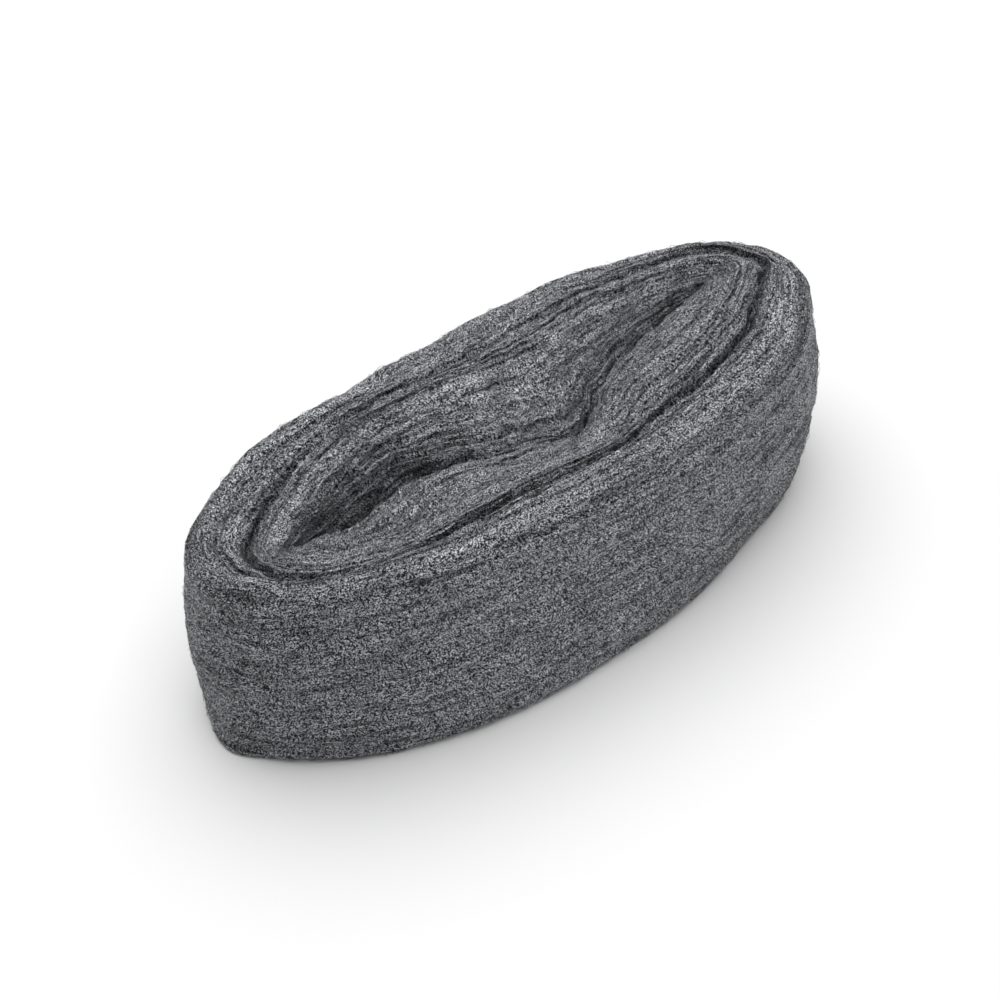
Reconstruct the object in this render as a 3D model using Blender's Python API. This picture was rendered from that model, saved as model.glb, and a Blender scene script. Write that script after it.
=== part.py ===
"""Steel wool hand pad: one wide ribbon of steel wool, wound flat into an oblong roll.

The ribbon stands on its edge, so its width is the height of the pad. The turns are nested
ovals round a long slit that runs right through the pad. The top sinks towards the slit: it
is a deep hollow at the left lobe, a fold at the waist and a valley at the right lobe. A deep
crease parts the loose outer turns from the tight inner ones.

The pad is one closed grid. Each column is a section through the wound wall: up the outside,
over the turns, down the slope and the slit, and back under the pad. The columns follow each other round
the oval, anticlockwise from the right-hand end.
"""

import math

import bpy

# Driving dimensions, in metres
PAD_LENGTH = 0.1200
PAD_WIDTH = 0.0491
RIBBON_WIDTH = 0.0372
OVAL_POWER = 2.20

# Outer wall: a belly at mid height, a soft shoulder above and a foot that spreads a little
WALL_BELLY = 0.0017
FOOT_END_REACH = 0.0010
FOOT_ROUNDING = 0.0014
SHOULDER_ROUNDING = 0.0030
SHOULDER_DROP = 0.0026

# Soft bulges of the outer wall: middle angle, half spread, share of the height, size, reach
WALL_BULGES = (
    (255.0, 45.0, 0.0, 0.0038, 0.0140),
    (345.0, 20.0, 0.0, -0.0018, 0.0140),
    (22.0, 20.0, 0.9, 0.0013, 0.0140),
    (118.0, 32.0, 1.0, -0.0014, 0.0140),
    (158.0, 18.0, 1.0, 0.0006, 0.0140),
    (338.0, 16.0, 1.0, -0.0018, 0.0140),
    (187.0, 12.0, 0.0, 0.0018, 0.0045),
    (302.0, 12.0, 0.0, -0.0009, 0.0100),
    (79.0, 5.0, 1.0, 0.0006, 0.0060),
    (66.0, 5.0, 1.0, 0.0005, 0.0060),
    (40.0, 12.0, 1.0, 0.0008, 0.0090),
    (96.0, 12.0, 1.0, -0.0006, 0.0090),
    (128.0, 12.0, 1.0, 0.0016, 0.0090),
)

# Slopes: how far their rim lies from each end of the pad, and their reach to the slit's ends
LEFT_END_WALL = 0.0126
RIGHT_END_WALL = 0.0150
LEFT_END_SLOPE = 0.0090
RIGHT_END_SLOPE = 0.0050
SLOT_END_BLUNTNESS = 0.55

# Slopes along the pad: share from the middle to the end, then metres for the back rim, the
# front rim, the slit, half the slit's gap and the slit's depth below the rims, and how much
# the slopes bulge, from 1 for straight
SLOT_STATIONS = (
    (-1.00, -0.0015, -0.0060, 0.0016, 0.0010, 0.0070, 1.25),
    (-0.82, 0.0042, -0.0116, 0.0026, 0.0012, 0.0095, 1.15),
    (-0.65, 0.0074, -0.0128, 0.0043, 0.0012, 0.0098, 1.15),
    (-0.49, 0.0092, -0.0116, 0.0044, 0.0009, 0.0078, 1.30),
    (-0.33, 0.0094, -0.0106, 0.0010, 0.0006, 0.0056, 1.60),
    (-0.21, 0.0088, -0.0104, -0.0023, 0.0005, 0.0047, 1.70),
    (-0.10, 0.0076, -0.0108, -0.0040, 0.0005, 0.0042, 1.70),
    (0.00, 0.0064, -0.0114, -0.0051, 0.0005, 0.0044, 1.70),
    (0.12, 0.0058, -0.0114, -0.0059, 0.0006, 0.0058, 1.70),
    (0.20, 0.0060, -0.0100, -0.0043, 0.0008, 0.0075, 1.70),
    (0.28, 0.0070, -0.0076, -0.0017, 0.0010, 0.0086, 1.70),
    (0.38, 0.0082, -0.0054, 0.0016, 0.0008, 0.0077, 1.70),
    (0.59, 0.0092, -0.0038, 0.0045, 0.0005, 0.0060, 1.60),
    (0.75, 0.0098, -0.0018, 0.0056, 0.0005, 0.0050, 1.50),
    (0.89, 0.0096, 0.0010, 0.0065, 0.0005, 0.0040, 1.40),
    (1.00, 0.0078, 0.0046, 0.0064, 0.0006, 0.0032, 1.40),
)
LIP_ROUNDING = 0.0028
LIP_DROP = 0.0010
SLOT_FOOT_ROUNDING = 0.0012

# Main crease: angle round the pad, share of the wall that lies outside it, and depth
MAIN_CREASE = (
    (0.0, 0.44, 0.0034),
    (12.0, 0.46, 0.0028),
    (33.0, 0.32, 0.0014),
    (53.0, 0.40, 0.0010),
    (75.0, 0.50, 0.0009),
    (95.0, 0.58, 0.0009),
    (115.0, 0.62, 0.0012),
    (130.0, 0.60, 0.0026),
    (150.0, 0.66, 0.0036),
    (178.0, 0.64, 0.0038),
    (190.0, 0.54, 0.0034),
    (203.0, 0.38, 0.0022),
    (222.0, 0.37, 0.0009),
    (235.0, 0.44, 0.0020),
    (247.0, 0.52, 0.0036),
    (258.0, 0.59, 0.0034),
    (272.0, 0.55, 0.0016),
    (283.0, 0.50, 0.0028),
    (297.0, 0.45, 0.0036),
    (312.0, 0.49, 0.0034),
    (330.0, 0.50, 0.0026),
    (348.0, 0.50, 0.0030),
)
CREASE_WIDTH = 0.0011

# Turns outside the crease, inside it and down the slopes. Their grooves fade where the
# winding is tight, down to the share TIGHTEST, at another place on each turn.
OUTER_TURNS = 2
INNER_TURNS = 4
SLOPE_TURNS = 3
TURN_GROOVE_DEPTH = 0.0011
TURN_GROOVE_SHARPNESS = 3.0
TIGHTEST = 0.25
LOOSENESS_STEP = 2.4
GROUP_CROWN = 0.00070
RIM_WAVE = 0.00060
RIM_WAVES_ROUND = 3

# Underside: the same two groups of turns, pressed flat
UNDER_CREASE_DEPTH = 0.0016
UNDER_CREASE_SHARE = 0.50
UNDER_CREASE_WIDTH = 0.0016

# Fineness of the grid
COLUMNS = 104
FOOT_STEPS = 2
WALL_STEPS = 6
SHOULDER_STEPS = 3
OUTER_GROUP_STEPS = 8
INNER_GROUP_STEPS = 16
LIP_STEPS = 2
SLOPE_STEPS = 11
SHAFT_STEPS = 2

WOOL_COLOUR = (0.115, 0.120, 0.126, 1.0)
WOOL_METALLIC = 0.85
WOOL_ROUGHNESS = 0.55


def clear_scene():
    for item in list(bpy.data.objects):
        bpy.data.objects.remove(item, do_unlink=True)


def ease(share):
    """A smooth step from 0 to 1."""
    share = min(1.0, max(0.0, share))
    return share * share * (3.0 - 2.0 * share)


def along(stations, place, column):
    """One column of a list of stations, read smoothly at any place between them."""
    if place <= stations[0][0]:
        return stations[0][column]
    for left, right in zip(stations, stations[1:]):
        if place <= right[0]:
            share = (place - left[0]) / (right[0] - left[0])
            return left[column] + (right[column] - left[column]) * ease(share)
    return stations[-1][column]


def around(stations, angle, column):
    """The same for stations round the pad, in degrees, where the last meets the first."""
    first = stations[0]
    closed = stations + ((first[0] + 360.0,) + first[1:],)
    return along(closed, angle % 360.0, column)


def signed_power(value, power):
    return math.copysign(abs(value) ** power, value)


def angle_between(first, second):
    return abs((first - second + 180.0) % 360.0 - 180.0)


def wall_bulge(angle, height):
    total = 0.0
    for middle, spread, share, size, reach in WALL_BULGES:
        beside = angle_between(angle, middle) / spread
        above = (height - share * RIBBON_WIDTH) / reach
        total += size * math.exp(-beside * beside - above * above)
    return total


def outer_point(angle, height, inset=0.0):
    """Outer wall at an angle in degrees and a height, moved in by an inset."""
    rise = height / RIBBON_WIDTH
    swell = WALL_BELLY * (math.sin(math.pi * rise) - 1.0) + wall_bulge(angle, height) - inset
    half_length = PAD_LENGTH / 2.0 + FOOT_END_REACH * (1.0 - ease(rise)) + swell
    half_width = PAD_WIDTH / 2.0 + swell
    turn = math.radians(angle)
    x = half_length * signed_power(math.cos(turn), 2.0 / OVAL_POWER)
    y = half_width * signed_power(math.sin(turn), 2.0 / OVAL_POWER)
    return x, y


def slot_point(angle, closing, outset=0.0):
    """Slope at an angle, from its rim at closing 0 to the slit at closing 1, with an outset."""
    turn = math.radians(angle)
    place = math.cos(turn)
    left = -PAD_LENGTH / 2.0 + LEFT_END_WALL + LEFT_END_SLOPE * closing
    right = PAD_LENGTH / 2.0 - RIGHT_END_WALL - RIGHT_END_SLOPE * closing
    back, front, slit, gap = (along(SLOT_STATIONS, place, column) for column in (1, 2, 3, 4))
    middle = (back + front) / 2.0 * (1.0 - closing) + slit * closing
    half = (back - front) / 2.0 * (1.0 - closing) + gap * closing + outset
    x = (left + right) / 2.0 + ((right - left) / 2.0 + outset) * place
    y = middle + half * signed_power(math.sin(turn), SLOT_END_BLUNTNESS)
    return x, y


def between(outer, inner, share):
    return tuple(a + (b - a) * share for a, b in zip(outer, inner))


def shoulder_drop(edge_distance):
    """How far the round outer edge lies below the flat, at a distance in from that edge."""
    share = min(1.0, max(0.0, 1.0 - edge_distance / SHOULDER_ROUNDING))
    return SHOULDER_DROP * (1.0 - math.sqrt(1.0 - share * share))


def lip_drop(edge_distance):
    """The same for the soft rim of the slopes."""
    share = max(0.0, 1.0 - edge_distance / LIP_ROUNDING)
    return LIP_DROP * share * share


def turn_groove(share, turns, angle):
    """Grooves between turns. They shift by one turn each time round, as a winding does."""
    phase = turns * share + angle / 360.0
    groove = (0.5 + 0.5 * math.cos(2.0 * math.pi * phase)) ** TURN_GROOVE_SHARPNESS
    loose = 0.5 + 0.5 * math.sin(2.0 * math.radians(angle) + LOOSENESS_STEP * round(phase))
    strength = TIGHTEST + (1.0 - TIGHTEST) * loose
    return TURN_GROOVE_DEPTH * groove * strength * math.sqrt(math.sin(math.pi * share))


def group_drop(share, turns, angle):
    """How far a group of turns lies below its crown, with the grooves between its turns."""
    return turn_groove(share, turns, angle) + GROUP_CROWN * (1.0 - math.sin(math.pi * share))


def rim_wave(angle):
    return RIM_WAVE * (0.5 + 0.5 * math.sin(math.radians(RIM_WAVES_ROUND * angle)))


def top_rows(angle):
    """Across the top from the outer wall to the slot: the points and their heights."""
    outer = outer_point(angle, RIBBON_WIDTH)
    inner = slot_point(angle, 0.0)
    width = math.dist(outer, inner)
    crease_share = around(MAIN_CREASE, angle, 1)
    crease_depth = around(MAIN_CREASE, angle, 2)
    shoulder_share = SHOULDER_ROUNDING / width
    lip_share = LIP_ROUNDING / width
    rows = []
    for step in range(SHOULDER_STEPS):
        arc = math.cos(math.radians(90.0 * step / SHOULDER_STEPS))
        rows.append((shoulder_share * (1.0 - arc), None))
    for step in range(OUTER_GROUP_STEPS):
        part = step / OUTER_GROUP_STEPS
        rows.append((shoulder_share + (crease_share - shoulder_share) * part, (OUTER_TURNS, part)))
    for step in range(INNER_GROUP_STEPS + 1):
        part = step / INNER_GROUP_STEPS
        share = crease_share + (1.0 - lip_share - crease_share) * part
        rows.append((share, (INNER_TURNS, part)))
    for step in range(LIP_STEPS, 0, -1):
        arc = math.cos(math.radians(90.0 * (step - 1) / LIP_STEPS))
        rows.append((1.0 - lip_share * (1.0 - arc), None))
    points = []
    for share, group in rows:
        height = RIBBON_WIDTH - rim_wave(angle)
        height -= shoulder_drop(share * width)
        height -= lip_drop((1.0 - share) * width)
        height -= group_drop(group[1], group[0], angle) if group else GROUP_CROWN
        beside = (share - crease_share) * width / CREASE_WIDTH
        height -= crease_depth * math.exp(-beside * beside)
        points.append(between(outer, inner, share) + (height,))
    return points


def section(angle):
    """One closed column of the grid, from the outer foot round to the same foot."""
    points = []
    for step in range(FOOT_STEPS):
        arc = math.radians(90.0 * step / FOOT_STEPS)
        height = FOOT_ROUNDING * (1.0 - math.cos(arc))
        inset = FOOT_ROUNDING * (1.0 - math.sin(arc))
        points.append(outer_point(angle, height, inset) + (height,))
    top = top_rows(angle)
    wall_top = top[0][2]
    for step in range(WALL_STEPS):
        height = FOOT_ROUNDING + (wall_top - FOOT_ROUNDING) * step / WALL_STEPS
        points.append(outer_point(angle, height) + (height,))
    points.extend(top)
    lip_height = top[-1][2]
    depth, fullness = (
        along(SLOT_STATIONS, math.cos(math.radians(angle)), column) for column in (5, 6)
    )
    for step in range(1, SLOPE_STEPS + 1):
        part = step / SLOPE_STEPS
        closing = 1.0 - (1.0 - part) ** fullness
        height = lip_height - depth * part - turn_groove(part, SLOPE_TURNS, angle)
        points.append(slot_point(angle, closing) + (height,))
    slit_height = lip_height - depth
    for step in range(1, SHAFT_STEPS + 1):
        height = slit_height + (SLOT_FOOT_ROUNDING - slit_height) * step / SHAFT_STEPS
        points.append(slot_point(angle, 1.0) + (height,))
    inner = slot_point(angle, 1.0, SLOT_FOOT_ROUNDING)
    outer = outer_point(angle, 0.0, FOOT_ROUNDING)
    crease = UNDER_CREASE_WIDTH / math.dist(outer, inner)
    points.append(inner + (0.0,))
    for share, height in (
        (UNDER_CREASE_SHARE + crease, 0.0),
        (UNDER_CREASE_SHARE, UNDER_CREASE_DEPTH),
        (UNDER_CREASE_SHARE - crease, 0.0),
    ):
        points.append(between(outer, inner, share) + (height,))
    return points


def column_angles():
    """Angles that space the columns evenly along the rim of the pad."""
    fine = [360.0 * step / 1440 for step in range(1441)]
    rim = [outer_point(angle, RIBBON_WIDTH) for angle in fine]
    lengths = [0.0]
    for first, second in zip(rim, rim[1:]):
        lengths.append(lengths[-1] + math.dist(first, second))
    angles = []
    place = 0
    for column in range(COLUMNS):
        wanted = lengths[-1] * column / COLUMNS
        while lengths[place + 1] < wanted:
            place += 1
        share = (wanted - lengths[place]) / (lengths[place + 1] - lengths[place])
        angles.append(fine[place] + (fine[place + 1] - fine[place]) * share)
    return angles


def stand_on_origin(columns):
    """Moves the grid so that the middle of its box's base is the origin."""
    points = [point for column in columns for point in column]
    lows = [min(point[axis] for point in points) for axis in range(3)]
    highs = [max(point[axis] for point in points) for axis in range(3)]
    shift = (-(lows[0] + highs[0]) / 2.0, -(lows[1] + highs[1]) / 2.0, -lows[2])
    return [tuple(value + move for value, move in zip(point, shift)) for point in points]


def grid_faces(column_count, row_count):
    """Triangles between neighbouring columns of a grid that closes both ways."""
    faces = []
    for column in range(column_count):
        following = (column + 1) % column_count
        for row in range(row_count):
            above = (row + 1) % row_count
            corner = column * row_count + row
            across = following * row_count + row
            far = following * row_count + above
            near = column * row_count + above
            faces.append((corner, across, far))
            faces.append((corner, far, near))
    return faces


def wool_material():
    material = bpy.data.materials.new("steel_wool")
    material.use_nodes = True
    shader = material.node_tree.nodes["Principled BSDF"]
    shader.inputs["Base Color"].default_value = WOOL_COLOUR
    shader.inputs["Metallic"].default_value = WOOL_METALLIC
    shader.inputs["Roughness"].default_value = WOOL_ROUGHNESS
    return material


def make_pad():
    columns = [section(angle) for angle in column_angles()]
    mesh = bpy.data.meshes.new("steel_wool_pad")
    mesh.from_pydata(stand_on_origin(columns), [], grid_faces(len(columns), len(columns[0])))
    mesh.materials.append(wool_material())
    mesh.shade_smooth()
    mesh.validate()
    pad = bpy.data.objects.new("steel_wool_pad", mesh)
    bpy.context.scene.collection.objects.link(pad)
    return pad


clear_scene()
make_pad()
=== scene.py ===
"""The look of the steel wool hand pad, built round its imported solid.

The pad's surface is one closed grid with the same named sizes as the solid, with thin
furrows along the winding. Thousands of thin closed tubes lie over it as its fibres. The
columns of the grid follow each other round the pad, and its rows go up the wall, over the
top, down the slot and back under the pad.
"""

import math

import bpy
import numpy as np
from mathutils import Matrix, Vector


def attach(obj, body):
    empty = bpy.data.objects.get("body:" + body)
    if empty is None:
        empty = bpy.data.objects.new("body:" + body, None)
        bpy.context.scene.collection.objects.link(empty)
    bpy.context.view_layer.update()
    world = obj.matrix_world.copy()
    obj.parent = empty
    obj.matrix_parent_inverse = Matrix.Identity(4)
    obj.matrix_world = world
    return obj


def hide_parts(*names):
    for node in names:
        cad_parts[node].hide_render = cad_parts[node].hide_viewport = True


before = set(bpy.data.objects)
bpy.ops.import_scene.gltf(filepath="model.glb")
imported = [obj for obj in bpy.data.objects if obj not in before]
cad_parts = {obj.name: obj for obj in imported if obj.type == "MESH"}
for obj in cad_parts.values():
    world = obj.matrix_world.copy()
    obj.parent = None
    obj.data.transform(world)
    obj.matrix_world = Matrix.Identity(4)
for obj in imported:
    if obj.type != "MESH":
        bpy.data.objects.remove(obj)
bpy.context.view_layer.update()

NODE = "steel_wool_pad"
BODY = "root"

# Sizes of the solid, in metres, as its source names them, with the same columns in the tables
PAD_LENGTH = 0.1200
PAD_WIDTH = 0.0491
RIBBON_WIDTH = 0.0372
OVAL_POWER = 2.20
WALL_BELLY = 0.0017
FOOT_END_REACH = 0.0010
FOOT_ROUNDING = 0.0014
SHOULDER_ROUNDING = 0.0030
SHOULDER_DROP = 0.0026
WALL_BULGES = (
    (255.0, 45.0, 0.0, 0.0038, 0.0140),
    (345.0, 20.0, 0.0, -0.0018, 0.0140),
    (22.0, 20.0, 0.9, 0.0013, 0.0140),
    (118.0, 32.0, 1.0, -0.0014, 0.0140),
    (158.0, 18.0, 1.0, 0.0006, 0.0140),
    (338.0, 16.0, 1.0, -0.0018, 0.0140),
    (187.0, 12.0, 0.0, 0.0018, 0.0045),
    (302.0, 12.0, 0.0, -0.0009, 0.0100),
    (79.0, 5.0, 1.0, 0.0006, 0.0060),
    (66.0, 5.0, 1.0, 0.0005, 0.0060),
    (40.0, 12.0, 1.0, 0.0008, 0.0090),
    (96.0, 12.0, 1.0, -0.0006, 0.0090),
    (128.0, 12.0, 1.0, 0.0016, 0.0090),
)
LEFT_END_WALL = 0.0126
RIGHT_END_WALL = 0.0150
LEFT_END_SLOPE = 0.0090
RIGHT_END_SLOPE = 0.0050
SLOT_END_BLUNTNESS = 0.55
SLOT_STATIONS = (
    (-1.00, -0.0015, -0.0060, 0.0016, 0.0010, 0.0070, 1.25),
    (-0.82, 0.0042, -0.0116, 0.0026, 0.0012, 0.0095, 1.15),
    (-0.65, 0.0074, -0.0128, 0.0043, 0.0012, 0.0098, 1.15),
    (-0.49, 0.0092, -0.0116, 0.0044, 0.0009, 0.0078, 1.30),
    (-0.33, 0.0094, -0.0106, 0.0010, 0.0006, 0.0056, 1.60),
    (-0.21, 0.0088, -0.0104, -0.0023, 0.0005, 0.0047, 1.70),
    (-0.10, 0.0076, -0.0108, -0.0040, 0.0005, 0.0042, 1.70),
    (0.00, 0.0064, -0.0114, -0.0051, 0.0005, 0.0044, 1.70),
    (0.12, 0.0058, -0.0114, -0.0059, 0.0006, 0.0058, 1.70),
    (0.20, 0.0060, -0.0100, -0.0043, 0.0008, 0.0075, 1.70),
    (0.28, 0.0070, -0.0076, -0.0017, 0.0010, 0.0086, 1.70),
    (0.38, 0.0082, -0.0054, 0.0016, 0.0008, 0.0077, 1.70),
    (0.59, 0.0092, -0.0038, 0.0045, 0.0005, 0.0060, 1.60),
    (0.75, 0.0098, -0.0018, 0.0056, 0.0005, 0.0050, 1.50),
    (0.89, 0.0096, 0.0010, 0.0065, 0.0005, 0.0040, 1.40),
    (1.00, 0.0078, 0.0046, 0.0064, 0.0006, 0.0032, 1.40),
)
LIP_ROUNDING = 0.0028
LIP_DROP = 0.0010
SLOT_FOOT_ROUNDING = 0.0012
MAIN_CREASE = (
    (0.0, 0.44, 0.0034),
    (12.0, 0.46, 0.0028),
    (33.0, 0.32, 0.0014),
    (53.0, 0.40, 0.0010),
    (75.0, 0.50, 0.0009),
    (95.0, 0.58, 0.0009),
    (115.0, 0.62, 0.0012),
    (130.0, 0.60, 0.0026),
    (150.0, 0.66, 0.0036),
    (178.0, 0.64, 0.0038),
    (190.0, 0.54, 0.0034),
    (203.0, 0.38, 0.0022),
    (222.0, 0.37, 0.0009),
    (235.0, 0.44, 0.0020),
    (247.0, 0.52, 0.0036),
    (258.0, 0.59, 0.0034),
    (272.0, 0.55, 0.0016),
    (283.0, 0.50, 0.0028),
    (297.0, 0.45, 0.0036),
    (312.0, 0.49, 0.0034),
    (330.0, 0.50, 0.0026),
    (348.0, 0.50, 0.0030),
)
OUTER_TURNS = 2
INNER_TURNS = 4
SLOPE_TURNS = 3
GROUP_CROWN = 0.00070
RIM_WAVE = 0.00060
RIM_WAVES_ROUND = 3

# Sizes that are finer here than in the solid
SLIT_SHARE = 0.15
CREASE_WIDTH = 0.0006
CREASE_SHARE = 0.50
TURN_GROOVE_DEPTH = 0.0009
TURN_GROOVE_SHARPNESS = 14.0
TIGHTEST = 0.25
LOOSE_STRETCHES = 2.0
LOOSENESS_STEP = 2.4
ROOM_FOR_TURN = 0.0012
UNDER_TURNS = 6
UNDER_GROOVE_DEPTH = 0.0005

# Painted shade: how much of the light the deepest forms lose, and how much darker the wall is
# painted towards its ends
GROOVE_SHADE = 0.30
CREASE_SHADE = 0.35
CREASE_FULL_DEPTH = 0.0030
END_SHADE = 0.25

# Fineness of the surface grid, and the row where each stretch of the section starts
OUTLINE_STEPS = 2881
COLUMNS = 290
FOOT_ROWS = 3
WALL_ROWS = 100
SHOULDER_ROWS = 8
OUTER_GROUP_ROWS = 36
INNER_GROUP_ROWS = 52
LIP_ROWS = 6
SLOPE_ROWS = 40
SHAFT_ROWS = 34
UNDER_ROWS = 36
SHOULDER_START = FOOT_ROWS + WALL_ROWS
TOP_START = SHOULDER_START + SHOULDER_ROWS
SLOPE_START = TOP_START + OUTER_GROUP_ROWS + INNER_GROUP_ROWS + 1 + LIP_ROWS
SHAFT_START = SLOPE_START + SLOPE_ROWS
UNDER_END = SHAFT_START + SHAFT_ROWS + UNDER_ROWS

# Wandering of the turns: cells round the pad, cells over the section, size
RUFFLES = ((34, 34, 0.00030), (80, 70, 0.00016))
RUFFLE_SEED = 5

# Furrows along the winding: cells round the pad, cells over the section, depth, steepness
FURROWS = (
    (6, 20, 0.00030, 5.0),
    (12, 60, 0.00034, 4.0),
    (26, 130, 0.00026, 2.6),
    (70, 220, 0.00014, 2.0),
)
# Painted shade at the furrows' bottoms, the depth where it is full, and the furrows' strength on
# the wall and the slope
FURROW_SHADE = 0.30
FURROW_FULL_DEPTH = 0.00034
WALL_FURROW_SHARE = 0.35
SLOPE_FURROW_SHARE = 0.9
FURROW_SEED = 11

# Fibres: short closed tubes that run along the winding, with some that cross it
FIBRE_RADIUS = 0.000042
FIBRE_RADIUS_RANGE = (0.7, 1.25)
FIBRE_TIP = 0.45
FIBRE_SIDES = 3
FIBRE_POINTS = 3
FIBRE_STEP = 0.0012
FIBRE_STEP_RANGE = (0.5, 1.3)
FIBRE_TONE_SPREAD = 0.05
ALONG_SPREAD = 0.35
CROSSING_SHARE = 0.3
CROSSING_SPREAD = 0.9
BEND_SPREAD = 0.06
WAVE_SWING = 0.10
WAVE_STEP = 2.1
SUNK = 0.00002
LIFT = 0.00016
LIFT_RARITY = 3.0
ARCH_LIFTS = 3.0
ARCH_RARITY = 10.0

# Fibre layers: name, count, first row, row after the last, most lift
FIBRE_LAYERS = (
    ("wall_fibres_a", 14000, 0, TOP_START, LIFT),
    ("wall_fibres_b", 14000, 0, TOP_START, LIFT),
    ("top_fibres", 14000, TOP_START, SLOPE_START, LIFT),
    ("slot_fibres", 11000, SLOPE_START, SHAFT_START, LIFT),
    ("under_fibres", 3500, SHAFT_START, UNDER_END, 0.0),
)
FIRST_LAYER_SEED = 100

# Grain of random tone whose brightest cells are painted glints: cells a metre, then where the
# ramp's dark ends, its middle runs and its painted glints start
GRAIN_SCALE = (6400.0, 6400.0, 8200.0)
DARK_END = 0.41
MIDDLE_RANGE = (0.46, 0.60)
PAINTED_GLINT_START = 0.68
GRAIN_BUMP = 0.7
GRAIN_BUMP_DEPTH = 0.00012

# Painted shade lines along the winding, for the thin dark gaps between turns: cells a metre,
# detail, the noise they fade over, the light they keep
SHADE_LINE_SCALE = (70.0, 70.0, 1500.0)
SHADE_LINE_DETAIL = 2.0
SHADE_LINE_RANGE = (0.34, 0.50)
SHADE_LINE_LIGHT = 0.50

# Steel; its brightest colours are painted glints
BASE_DARK = (0.006, 0.0062, 0.0068, 1.0)
BASE_MIDDLE = (0.078, 0.080, 0.085, 1.0)
BASE_PAINTED_GLINT = (0.70, 0.717, 0.757, 1.0)
FIBRE_DARK = (0.010, 0.0103, 0.0113, 1.0)
FIBRE_MIDDLE = (0.150, 0.154, 0.163, 1.0)
FIBRE_PAINTED_GLINT = (0.94, 0.96, 1.0, 1.0)
BASE_METALLIC = 0.75
BASE_ROUGHNESS = 0.5
FIBRE_METALLIC = 0.9
FIBRE_ROUGHNESS = 0.4

# Floor and lights
FLOOR_HALF = 1.2
FLOOR_GAP = 0.00002
FLOOR_TONE = 0.72
FLOOR_ROUGHNESS = 0.9
FLOOR_SPECULAR = 0.1
LIGHT_TARGET = (0.0, 0.0, 0.02)
KEY_PLACE = (0.08, 0.20, 0.90)
KEY_SIZE = 1.40
KEY_POWER = 14.5
FILL_PLACE = (-0.08, -0.75, 0.50)
FILL_SIZE = 0.60
FILL_POWER = 0.9
WORLD_STRENGTH = 0.35
WHITE = (1.0, 1.0, 1.0, 1.0)

# Camera: turned from the front and raised, in degrees, then metres and millimetres
CAMERA_TURN = 37.55
CAMERA_RISE = 47.0
CAMERA_DISTANCE = 0.3453
CAMERA_TARGET = (-0.0005, 0.001, 0.0)
LENS = 73.8
SENSOR = 36.0
SHIFT_X = -0.018
SHIFT_Y = 0.064


def ease(share):
    """A share from 0 to 1, eased at both ends."""
    share = np.clip(share, 0.0, 1.0)
    return share * share * (3.0 - 2.0 * share)


def along(stations, place, column):
    """A column of a table at any place between its stations."""
    places = np.array([station[0] for station in stations])
    values = np.array([station[column] for station in stations])
    right = np.clip(np.searchsorted(places, place), 1, len(places) - 1)
    share = (place - places[right - 1]) / (places[right] - places[right - 1])
    return values[right - 1] + (values[right] - values[right - 1]) * ease(share)


def around(stations, angle, column):
    """A column of a table that closes on itself after a full turn."""
    first = stations[0]
    closed = stations + ((first[0] + 360.0,) + first[1:],)
    return along(closed, np.mod(angle, 360.0), column)


def signed_power(value, power):
    return np.copysign(np.abs(value) ** power, value)


def outer_point(angle, height, inset=0.0):
    """A point on the outer wall."""
    rise = height / RIBBON_WIDTH
    swell = WALL_BELLY * (np.sin(np.pi * rise) - 1.0) - inset
    for middle, spread, share, size, reach in WALL_BULGES:
        beside = np.abs(np.mod(angle - middle + 180.0, 360.0) - 180.0) / spread
        above = (height - share * RIBBON_WIDTH) / reach
        swell = swell + size * np.exp(-beside * beside - above * above)
    half_length = PAD_LENGTH / 2.0 + FOOT_END_REACH * (1.0 - ease(rise)) + swell
    half_width = PAD_WIDTH / 2.0 + swell
    turn = np.radians(angle)
    x = half_length * signed_power(np.cos(turn), 2.0 / OVAL_POWER)
    y = half_width * signed_power(np.sin(turn), 2.0 / OVAL_POWER)
    return x, y


def slot_point(angle, closing, outset=0.0):
    """A point on the slot's wall, from its rim at closing 0 to its slit at closing 1."""
    turn = np.radians(angle)
    place = np.cos(turn)
    left = -PAD_LENGTH / 2.0 + LEFT_END_WALL + LEFT_END_SLOPE * closing
    right = PAD_LENGTH / 2.0 - RIGHT_END_WALL - RIGHT_END_SLOPE * closing
    back, front, slit, gap = (along(SLOT_STATIONS, place, column) for column in (1, 2, 3, 4))
    middle = (back + front) / 2.0 * (1.0 - closing) + slit * closing
    half = (back - front) / 2.0 * (1.0 - closing) + SLIT_SHARE * gap * closing + outset
    x = (left + right) / 2.0 + ((right - left) / 2.0 + outset) * place
    y = middle + half * signed_power(np.sin(turn), SLOT_END_BLUNTNESS)
    return x, y


def rounding_drop(edge_distance, rounding, drop):
    share = np.clip(1.0 - edge_distance / rounding, 0.0, 1.0)
    return drop * (1.0 - np.sqrt(1.0 - share * share))


def turn_groove(part, turns, angle):
    """Thin grooves between turns, each as strong as its stretch of the winding is loose."""
    phase = turns * part + angle / 360.0
    groove = (0.5 + 0.5 * np.cos(2.0 * np.pi * phase)) ** TURN_GROOVE_SHARPNESS
    loose_phase = LOOSE_STRETCHES * np.radians(angle) + LOOSENESS_STEP * np.round(phase)
    loose = 0.5 + 0.5 * np.sin(loose_phase)
    return groove * math.sqrt(math.sin(math.pi * part)) * (TIGHTEST + (1.0 - TIGHTEST) * loose)


def group_drop(part):
    """How far a group of turns drops below its crown, from one of its sides to the other."""
    return GROUP_CROWN * (1.0 - math.sin(math.pi * part))


def column_angles():
    """Angles that part the pad's outline into stretches of the same length."""
    fine = np.linspace(0.0, 360.0, OUTLINE_STEPS)
    x, y = outer_point(fine, RIBBON_WIDTH)
    lengths = np.concatenate([[0.0], np.cumsum(np.hypot(np.diff(x), np.diff(y)))])
    return np.interp(np.arange(COLUMNS) / COLUMNS * lengths[-1], lengths, fine)


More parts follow.
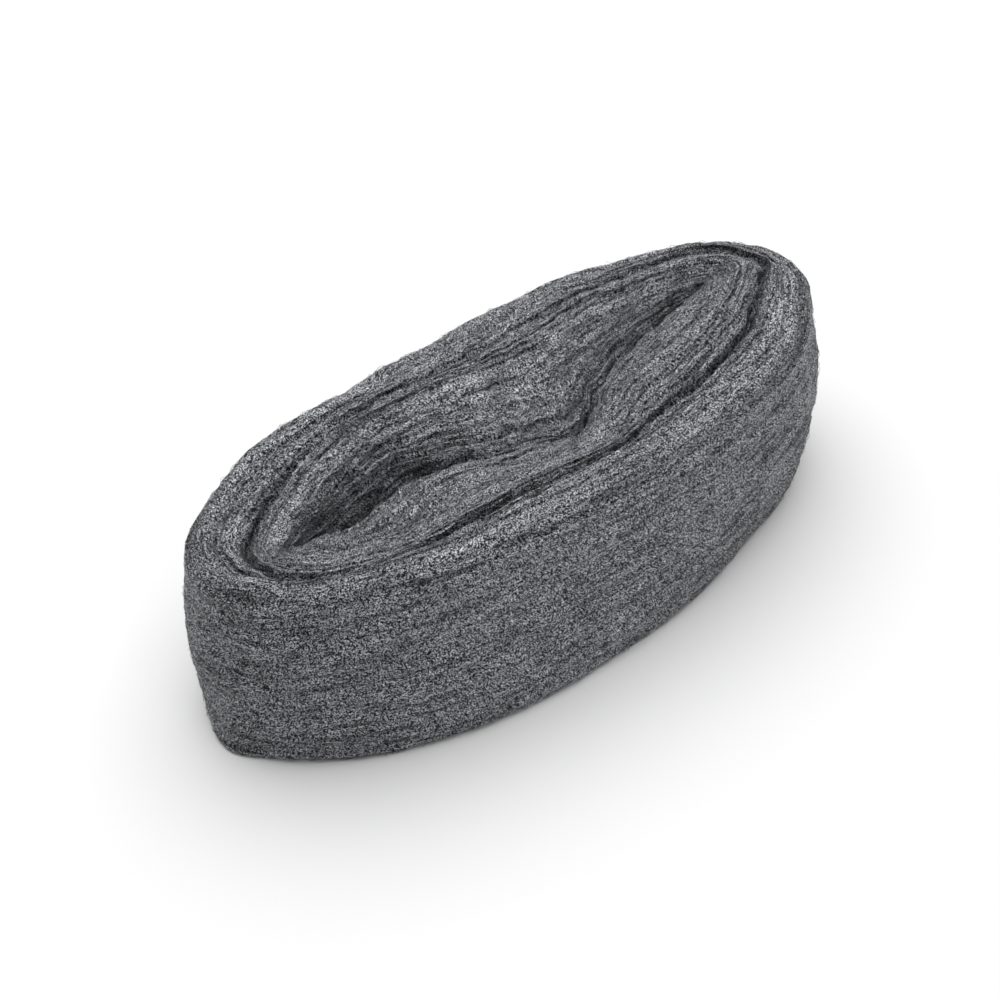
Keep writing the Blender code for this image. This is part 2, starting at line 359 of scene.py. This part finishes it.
def surface_grid():
    """The pad's sections, one for each column, and the painted shade at each point: how much of
    the light it keeps.
    """
    angle = column_angles()
    rim = RIBBON_WIDTH - RIM_WAVE * (0.5 + 0.5 * np.sin(np.radians(RIM_WAVES_ROUND * angle)))
    outer = np.stack(outer_point(angle, RIBBON_WIDTH), axis=-1)
    inner = np.stack(slot_point(angle, 0.0), axis=-1)
    width = np.linalg.norm(inner - outer, axis=1)
    crease = around(MAIN_CREASE, angle, 1)
    crease_depth = around(MAIN_CREASE, angle, 2)
    shoulder = SHOULDER_ROUNDING / width
    lip = LIP_ROUNDING / width
    outer_room = np.minimum(1.0, (crease - shoulder) * width / (OUTER_TURNS * ROOM_FOR_TURN))
    inner_room = np.minimum(1.0, (1.0 - lip - crease) * width / (INNER_TURNS * ROOM_FOR_TURN))
    # Painted shade: the wall darker towards both ends, where less light falls on it
    wall_shade = 1.0 - END_SHADE * np.cos(np.radians(angle)) ** 2
    rows = []
    shades = []

    def add(x, y, z, shade=1.0):
        rows.append(np.stack(np.broadcast_arrays(x, y, z), axis=-1))
        shades.append(np.broadcast_to(shade, angle.shape))

    def add_top(share, relief, groove=0.0, shade=1.0):
        height = rim - relief
        height = height - rounding_drop(share * width, SHOULDER_ROUNDING, SHOULDER_DROP)
        lip_part = np.clip(1.0 - (1.0 - share) * width / LIP_ROUNDING, 0.0, 1.0)
        height = height - LIP_DROP * lip_part * lip_part
        beside = (share - crease) * width / CREASE_WIDTH
        crease_part = np.exp(-beside * beside)
        height = height - CREASE_SHARE * crease_depth * crease_part
        flat = outer + (inner - outer) * share[:, None]
        # Painted shade in the crease and in the grooves between turns, where less light falls
        dark = np.minimum(1.0, crease_depth / CREASE_FULL_DEPTH) * crease_part
        shade = shade * (1.0 - CREASE_SHADE * dark) * (1.0 - GROOVE_SHADE * groove)
        add(flat[:, 0], flat[:, 1], height, shade)

    for step in range(FOOT_ROWS):
        arc = math.radians(90.0 * step / FOOT_ROWS)
        height = FOOT_ROUNDING * (1.0 - math.cos(arc))
        inset = FOOT_ROUNDING * (1.0 - math.sin(arc))
        add(*outer_point(angle, height, inset), height, wall_shade)
    wall_top = rim - GROUP_CROWN - SHOULDER_DROP
    for step in range(WALL_ROWS):
        height = FOOT_ROUNDING + (wall_top - FOOT_ROUNDING) * step / WALL_ROWS
        add(*outer_point(angle, height), height, wall_shade)
    for step in range(SHOULDER_ROWS):
        arc = math.cos(math.radians(90.0 * step / SHOULDER_ROWS))
        # the painted end shade fades out over the shoulder
        shade = 1.0 - (1.0 - wall_shade) * arc
        add_top(shoulder * (1.0 - arc), GROUP_CROWN, shade=shade)
    for step in range(OUTER_GROUP_ROWS):
        part = step / OUTER_GROUP_ROWS
        groove = outer_room * turn_groove(part, OUTER_TURNS, angle)
        share = shoulder + (crease - shoulder) * part
        add_top(share, group_drop(part) + TURN_GROOVE_DEPTH * groove, groove)
    for step in range(INNER_GROUP_ROWS + 1):
        part = step / INNER_GROUP_ROWS
        share = crease + (1.0 - lip - crease) * part
        groove = inner_room * turn_groove(part, INNER_TURNS, angle)
        add_top(share, group_drop(part) + TURN_GROOVE_DEPTH * groove, groove)
    for step in range(LIP_ROWS, 0, -1):
        arc = math.cos(math.radians(90.0 * (step - 1) / LIP_ROWS))
        add_top(1.0 - lip * (1.0 - arc), GROUP_CROWN)
    lip_height = rows[-1][:, 2]
    depth = along(SLOT_STATIONS, np.cos(np.radians(angle)), 5)
    fullness = along(SLOT_STATIONS, np.cos(np.radians(angle)), 6)
    for step in range(1, SLOPE_ROWS + 1):
        part = step / SLOPE_ROWS
        groove = turn_groove(part, SLOPE_TURNS, angle)
        height = lip_height - depth * part - TURN_GROOVE_DEPTH * groove
        closing = 1.0 - (1.0 - part) ** fullness
        # painted shade in the slope's grooves
        add(*slot_point(angle, closing), height, 1.0 - GROOVE_SHADE * groove)
    throat = lip_height - depth
    for step in range(1, SHAFT_ROWS + 1):
        height = throat + (SLOT_FOOT_ROUNDING - throat) * step / SHAFT_ROWS
        add(*slot_point(angle, 1.0), height)
    foot_inner = np.stack(slot_point(angle, 1.0, SLOT_FOOT_ROUNDING), axis=-1)
    foot_outer = np.stack(outer_point(angle, 0.0, FOOT_ROUNDING), axis=-1)
    for step in range(UNDER_ROWS):
        part = step / UNDER_ROWS
        flat = foot_inner + (foot_outer - foot_inner) * part
        groove = turn_groove(part, UNDER_TURNS, angle)
        # painted shade in the grooves under the pad
        add(flat[:, 0], flat[:, 1], UNDER_GROOVE_DEPTH * groove, 1.0 - GROOVE_SHADE * groove)
    grid = np.stack(rows, axis=1)
    low = grid.reshape(-1, 3).min(axis=0)
    high = grid.reshape(-1, 3).max(axis=0)
    grid[..., :2] -= (low[:2] + high[:2]) / 2.0
    return grid, np.stack(shades, axis=1)


def grid_normals(grid):
    """Outward normals of a grid that closes both ways."""
    round_way = np.roll(grid, -1, axis=0) - np.roll(grid, 1, axis=0)
    section_way = np.roll(grid, -1, axis=1) - np.roll(grid, 1, axis=1)
    normal = np.cross(round_way, section_way)
    return normal / np.linalg.norm(normal, axis=2, keepdims=True)


def section_shares(grid):
    """Place of each row round the section, from 0 to 1, by its mean distance."""
    steps = np.linalg.norm(np.roll(grid, -1, axis=1) - grid, axis=2).mean(axis=0)
    return np.concatenate([[0.0], np.cumsum(steps)[:-1]]) / steps.sum()


def smooth_noise(rng, round_cells, section_cells, shares):
    """Smooth noise that closes round the pad and round its section."""
    values = rng.random((round_cells, section_cells))
    u = np.arange(COLUMNS) / COLUMNS * round_cells
    v = shares * section_cells
    u_low, v_low = np.floor(u).astype(int), np.floor(v).astype(int)
    u_part, v_part = ease(u - u_low)[:, None], ease(v - v_low)[None, :]
    u_low, v_low = u_low % round_cells, v_low % section_cells
    u_high, v_high = (u_low + 1) % round_cells, (v_low + 1) % section_cells
    low = values[u_low][:, v_low] * (1.0 - v_part) + values[u_low][:, v_high] * v_part
    high = values[u_high][:, v_low] * (1.0 - v_part) + values[u_high][:, v_high] * v_part
    return low * (1.0 - u_part) + high * u_part


def ruffled(grid):
    """The grid with its turns wandering a little, as pulled wool does."""
    rng = np.random.default_rng(RUFFLE_SEED)
    shares = section_shares(grid)
    moved = grid.copy()
    for axis in range(3):
        for round_cells, section_cells, size in RUFFLES:
            noise = smooth_noise(rng, round_cells, section_cells, shares)
            moved[..., axis] += size * (2.0 * noise - 1.0)
    moved[:, 0] = grid[:, 0]
    moved[:, SHAFT_START:] = grid[:, SHAFT_START:]
    return moved


def furrowed(grid):
    """The grid with sharp furrows pressed in, and the painted shade at their bottoms: how much
    light they keep.
    """
    rng = np.random.default_rng(FURROW_SEED)
    shares = section_shares(grid)
    normal = grid_normals(grid)
    lift = np.zeros(grid.shape[:2])
    shade = np.ones(grid.shape[:2])
    section_step = np.linalg.norm(np.roll(grid, -1, axis=1) - grid, axis=2)
    room = np.minimum(1.0, section_step / section_step.mean(axis=0))
    row_strength = np.ones(grid.shape[1])
    row_strength[:SHOULDER_START] = WALL_FURROW_SHARE
    row_strength[SLOPE_START:SHAFT_START] = SLOPE_FURROW_SHARE
    strength = room * row_strength
    for round_cells, section_cells, depth, steepness in FURROWS:
        noise = smooth_noise(rng, round_cells, section_cells, shares)
        furrow = strength * np.maximum(0.0, 1.0 - np.abs(2.0 * noise - 1.0) * steepness)
        lift -= depth * furrow
        # painted shade at the bottom of each furrow
        shade *= 1.0 - FURROW_SHADE * depth / FURROW_FULL_DEPTH * furrow * furrow
    grid = grid + normal * lift[..., None]
    grid[..., 2] = np.maximum(grid[..., 2], 0.0)
    return grid, shade


def new_object(name, points, faces, attributes, material):
    """A piece that rides with the pad's body in place of its solid."""
    mesh = bpy.data.meshes.new(name)
    corners = faces.shape[1]
    mesh.vertices.add(len(points))
    mesh.vertices.foreach_set("co", np.ascontiguousarray(points, dtype=np.float32).ravel())
    mesh.loops.add(faces.size)
    mesh.loops.foreach_set("vertex_index", faces.ravel().astype(np.int32))
    mesh.polygons.add(len(faces))
    mesh.polygons.foreach_set("loop_start", np.arange(len(faces), dtype=np.int32) * corners)
    mesh.polygons.foreach_set("use_smooth", np.ones(len(faces), dtype=bool))
    mesh.update(calc_edges=True)
    for key, values in attributes.items():
        values = np.asarray(values, dtype=np.float32)
        flat = values.size == len(points)
        layer = mesh.attributes.new(key, "FLOAT" if flat else "FLOAT_VECTOR", "POINT")
        layer.data.foreach_set("value" if flat else "vector", values.ravel())
    mesh.materials.append(material)
    piece = bpy.data.objects.new(name, mesh)
    bpy.context.scene.collection.objects.link(piece)
    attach(piece, BODY)
    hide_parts(NODE)
    return piece


def grid_faces(columns, rows):
    """Triangles of a grid that closes both ways."""
    column, row = np.meshgrid(np.arange(columns), np.arange(rows), indexing="ij")
    following, above = (column + 1) % columns, (row + 1) % rows
    quads = np.stack(
        [
            column * rows + row,
            following * rows + row,
            following * rows + above,
            column * rows + above,
        ],
        axis=-1,
    ).reshape(-1, 4)
    return np.concatenate([quads[:, [0, 1, 2]], quads[:, [0, 2, 3]]])


def sample(values, u, v):
    """Values of a closed grid at fractional columns and rows."""
    columns, rows = values.shape[:2]
    u_low, v_low = np.floor(u).astype(int), np.floor(v).astype(int)
    extra = (1,) * (values.ndim - 2)
    u_part = (u - u_low).reshape(u.shape + extra)
    v_part = (v - v_low).reshape(v.shape + extra)
    u_low, v_low = u_low % columns, v_low % rows
    u_high, v_high = (u_low + 1) % columns, (v_low + 1) % rows
    low = values[u_low, v_low] * (1.0 - v_part) + values[u_low, v_high] * v_part
    high = values[u_high, v_low] * (1.0 - v_part) + values[u_high, v_high] * v_part
    return low * (1.0 - u_part) + high * u_part


def fibre_paths(rng, surface, count, first_row, end_row, lift_high):
    """Points of fibres that start between two rows, and the surface's traits at each point."""
    grid, normal, round_step, section_step, traits = surface
    area = (round_step * section_step)[:, first_row:end_row]
    cells = rng.choice(area.size, size=count, p=area.ravel() / area.sum())
    u = cells // area.shape[1] + rng.random(count)
    v = cells % area.shape[1] + first_row + rng.random(count)
    crossing = rng.random(count) < CROSSING_SHARE
    heading = rng.normal(0.0, np.where(crossing, CROSSING_SPREAD, ALONG_SPREAD))
    bend = rng.normal(0.0, BEND_SPREAD, count)
    wave = rng.random(count) * 2.0 * np.pi
    stretch = FIBRE_STEP * rng.uniform(*FIBRE_STEP_RANGE, count)
    lift = rng.random(count) ** LIFT_RARITY * lift_high
    arch = rng.random(count) ** ARCH_RARITY * lift_high * ARCH_LIFTS
    points = []
    found = []
    for step in range(FIBRE_POINTS):
        part = step / (FIBRE_POINTS - 1)
        found.append(sample(traits, u, v))
        height = lift + arch * math.sin(math.pi * part) - SUNK
        points.append(sample(grid, u, v) + sample(normal, u, v) * height[:, None])
        angle = heading + bend * step + WAVE_SWING * np.sin(wave + step * WAVE_STEP)
        u = u + stretch * np.cos(angle) / sample(round_step, u, v)
        v = v + stretch * np.sin(angle) / sample(section_step, u, v)
    return np.stack(points, axis=1), np.stack(found, axis=1)


def tubes(paths, radius):
    """Closed tubes along paths, thinner at their tips, as points and triangles."""
    count, steps, _ = paths.shape
    tangent = np.gradient(paths, axis=1)
    tangent /= np.linalg.norm(tangent, axis=2, keepdims=True) + 1e-12
    helper = np.zeros_like(tangent)
    helper[..., 2] = 1.0
    helper[np.abs(tangent[..., 2]) > 0.9] = (1.0, 0.0, 0.0)
    side = np.cross(tangent, helper)
    side /= np.linalg.norm(side, axis=2, keepdims=True)
    up = np.cross(side, tangent)
    taper = np.ones(steps)
    taper[0] = FIBRE_TIP
    taper[-1] = FIBRE_TIP
    size = radius[:, None, None] * taper[None, :, None]
    ring = []
    for corner in range(FIBRE_SIDES):
        turn = 2.0 * math.pi * corner / FIBRE_SIDES
        ring.append(paths + size * (math.cos(turn) * up + math.sin(turn) * side))
    points = np.stack(ring, axis=2).reshape(-1, 3)
    faces = []
    for step in range(steps - 1):
        near = step * FIBRE_SIDES
        far = near + FIBRE_SIDES
        for corner in range(FIBRE_SIDES):
            following = (corner + 1) % FIBRE_SIDES
            faces.append((near + corner, near + following, far + following))
            faces.append((near + corner, far + following, far + corner))
    last = (steps - 1) * FIBRE_SIDES
    for corner in range(1, FIBRE_SIDES - 1):
        faces.append((corner + 1, corner, 0))
        faces.append((last, last + corner, last + corner + 1))
    pattern = np.array(faces)
    starts = np.arange(count)[:, None, None] * steps * FIBRE_SIDES
    return points, (pattern[None] + starts).reshape(-1, 3)


def node(tree, kind, **settings):
    """A new shader node with its settings."""
    made = tree.nodes.new(kind)
    for key, value in settings.items():
        setattr(made, key, value)
    return made


def wool_material(name, dark, middle, painted_glint, metallic, roughness):
    """Steel with a fine grain along the winding, its brightest cells painted glints, with painted
    shade from the shade attribute and painted shade lines along the winding.
    """
    material = bpy.data.materials.new(name)
    material.use_nodes = True
    tree = material.node_tree
    link = tree.links.new
    shader = tree.nodes["Principled BSDF"]
    shader.inputs["Metallic"].default_value = metallic
    shader.inputs["Roughness"].default_value = roughness
    wind = node(tree, "ShaderNodeAttribute", attribute_name="wind")
    stretch = node(tree, "ShaderNodeMapping")
    stretch.inputs["Scale"].default_value = GRAIN_SCALE
    link(wind.outputs["Vector"], stretch.inputs["Vector"])
    grain = node(tree, "ShaderNodeTexVoronoi")
    grain.inputs["Scale"].default_value = 1.0
    link(stretch.outputs["Vector"], grain.inputs["Vector"])
    tone = node(tree, "ShaderNodeAttribute", attribute_name="tone")
    level = node(tree, "ShaderNodeMath", operation="ADD")
    link(grain.outputs["Color"], level.inputs[0])
    link(tone.outputs["Fac"], level.inputs[1])
    ramp = node(tree, "ShaderNodeValToRGB")
    ramp.color_ramp.elements[0].position = DARK_END
    ramp.color_ramp.elements[0].color = dark
    ramp.color_ramp.elements[1].position = PAINTED_GLINT_START
    ramp.color_ramp.elements[1].color = painted_glint
    for position in MIDDLE_RANGE:
        ramp.color_ramp.elements.new(position).color = middle
    link(level.outputs["Value"], ramp.inputs["Fac"])
    # Painted shade lines along the winding
    draw_out = node(tree, "ShaderNodeMapping")
    draw_out.inputs["Scale"].default_value = SHADE_LINE_SCALE
    link(wind.outputs["Vector"], draw_out.inputs["Vector"])
    shade_line = node(tree, "ShaderNodeTexNoise")
    shade_line.inputs["Scale"].default_value = 1.0
    shade_line.inputs["Detail"].default_value = SHADE_LINE_DETAIL
    link(draw_out.outputs["Vector"], shade_line.inputs["Vector"])
    line_shade = node(tree, "ShaderNodeMapRange")
    line_shade.inputs["From Min"].default_value = SHADE_LINE_RANGE[0]
    line_shade.inputs["From Max"].default_value = SHADE_LINE_RANGE[1]
    line_shade.inputs["To Min"].default_value = SHADE_LINE_LIGHT
    link(shade_line.outputs["Fac"], line_shade.inputs["Value"])
    # Painted shade of creases, grooves, furrows and the wall's ends, carried in the shade
    # attribute
    shade = node(tree, "ShaderNodeAttribute", attribute_name="shade")
    dim = node(tree, "ShaderNodeMath", operation="MULTIPLY")
    link(shade.outputs["Fac"], dim.inputs[0])
    link(line_shade.outputs["Result"], dim.inputs[1])
    mix = node(tree, "ShaderNodeMix", data_type="RGBA", blend_type="MULTIPLY")
    mix.inputs["Factor"].default_value = 1.0
    link(ramp.outputs["Color"], mix.inputs["A"])
    link(dim.outputs["Value"], mix.inputs["B"])
    link(mix.outputs["Result"], shader.inputs["Base Color"])
    bump = node(tree, "ShaderNodeBump")
    bump.inputs["Strength"].default_value = GRAIN_BUMP
    bump.inputs["Distance"].default_value = GRAIN_BUMP_DEPTH
    link(grain.outputs["Distance"], bump.inputs["Height"])
    link(bump.outputs["Normal"], shader.inputs["Normal"])
    return material


def make_floor():
    mesh = bpy.data.meshes.new("floor")
    sides = ((-1, -1), (1, -1), (1, 1), (-1, 1))
    mesh.from_pydata([(x * FLOOR_HALF, y * FLOOR_HALF, 0.0) for x, y in sides], [], [(0, 1, 2, 3)])
    material = bpy.data.materials.new("pale_floor")
    material.use_nodes = True
    shader = material.node_tree.nodes["Principled BSDF"]
    shader.inputs["Base Color"].default_value = (FLOOR_TONE, FLOOR_TONE, FLOOR_TONE, 1.0)
    shader.inputs["Roughness"].default_value = FLOOR_ROUGHNESS
    shader.inputs["Specular IOR Level"].default_value = FLOOR_SPECULAR
    mesh.materials.append(material)
    floor = bpy.data.objects.new("floor", mesh)
    bpy.context.scene.collection.objects.link(floor)
    floor.location.z = -FLOOR_GAP


def add_area_light(name, place, size, power):
    """A round soft light that points at the pad."""
    light = bpy.data.lights.new(name, "AREA")
    light.shape = "DISK"
    light.size = size
    light.energy = power
    lamp = bpy.data.objects.new(name, light)
    bpy.context.scene.collection.objects.link(lamp)
    lamp.location = place
    lamp.rotation_mode = "QUATERNION"
    direction = Vector(LIGHT_TARGET) - Vector(place)
    lamp.rotation_quaternion = direction.to_track_quat("-Z", "Y")


def make_lights():
    add_area_light("key", KEY_PLACE, KEY_SIZE, KEY_POWER)
    add_area_light("fill", FILL_PLACE, FILL_SIZE, FILL_POWER)
    world = bpy.data.worlds.new("studio")
    world.use_nodes = True
    background = world.node_tree.nodes["Background"]
    background.inputs["Color"].default_value = WHITE
    background.inputs["Strength"].default_value = WORLD_STRENGTH
    bpy.context.scene.world = world


def make_camera():
    turn = math.radians(-CAMERA_TURN)
    rise = math.radians(CAMERA_RISE)
    back = Vector(
        (math.sin(turn) * math.cos(rise), -math.cos(turn) * math.cos(rise), math.sin(rise))
    )
    data = bpy.data.cameras.new("camera")
    data.sensor_width = SENSOR
    data.lens = LENS
    data.shift_x = SHIFT_X
    data.shift_y = SHIFT_Y
    camera = bpy.data.objects.new("camera", data)
    bpy.context.scene.collection.objects.link(camera)
    camera.location = Vector(CAMERA_TARGET) + back * CAMERA_DISTANCE
    camera.rotation_mode = "QUATERNION"
    camera.rotation_quaternion = (-back).to_track_quat("-Z", "Y")
    bpy.context.scene.camera = camera


def wind_places(grid, round_step, girth):
    """Places in a space where the winding is round and the section is straight."""
    perimeter = round_step[:, FOOT_ROWS + WALL_ROWS // 2].sum()
    turn = np.arange(COLUMNS)[:, None] / COLUMNS * 2.0 * math.pi
    along_section = section_shares(grid)[None, :] * girth
    reach = perimeter / (2.0 * math.pi)
    return np.stack(
        np.broadcast_arrays(reach * np.cos(turn), reach * np.sin(turn), along_section), axis=-1
    )


def make_body(grid, wind, shade):
    body = new_object(
        "wound_wool",
        grid.reshape(-1, 3),
        grid_faces(*grid.shape[:2]),
        {"wind": wind, "shade": shade},
        wool_material(
            "matted_wool", BASE_DARK, BASE_MIDDLE, BASE_PAINTED_GLINT, BASE_METALLIC, BASE_ROUGHNESS
        ),
    )


def make_fibres(surface):
    steel = wool_material(
        "steel_fibre", FIBRE_DARK, FIBRE_MIDDLE, FIBRE_PAINTED_GLINT, FIBRE_METALLIC, FIBRE_ROUGHNESS
    )
    for layer, (name, count, first_row, end_row, lift_high) in enumerate(FIBRE_LAYERS):
        rng = np.random.default_rng(FIRST_LAYER_SEED + layer)
        paths, found = fibre_paths(rng, surface, count, first_row, end_row, lift_high)
        radius = FIBRE_RADIUS * rng.uniform(*FIBRE_RADIUS_RANGE, count)
        points, faces = tubes(paths, radius)
        points[:, 2] = np.maximum(points[:, 2], 0.0)
        found = np.repeat(found.reshape(-1, 4), FIBRE_SIDES, axis=0)
        tone = rng.normal(0.0, FIBRE_TONE_SPREAD, count)
        traits = {
            "wind": found[:, :3],
            "shade": found[:, 3],
            "tone": np.repeat(tone, FIBRE_POINTS * FIBRE_SIDES),
        }
        new_object(name, points, faces, traits, steel)


grid, form_shade = surface_grid()
grid, furrow_shade = furrowed(ruffled(grid))
# Painted shade of the crease, grooves, furrows and wall ends, kept in the surface's colour
shade = form_shade * furrow_shade
round_step = np.linalg.norm(np.roll(grid, -1, axis=0) - grid, axis=2)
section_step = np.linalg.norm(np.roll(grid, -1, axis=1) - grid, axis=2)
wind = wind_places(grid, round_step, section_step.mean(axis=0).sum())
make_body(grid, wind, shade)
make_fibres((grid, grid_normals(grid), round_step, section_step, np.dstack([wind, shade])))
make_floor()
make_lights()
make_camera()
bpy.context.scene.view_settings.view_transform = "Standard"
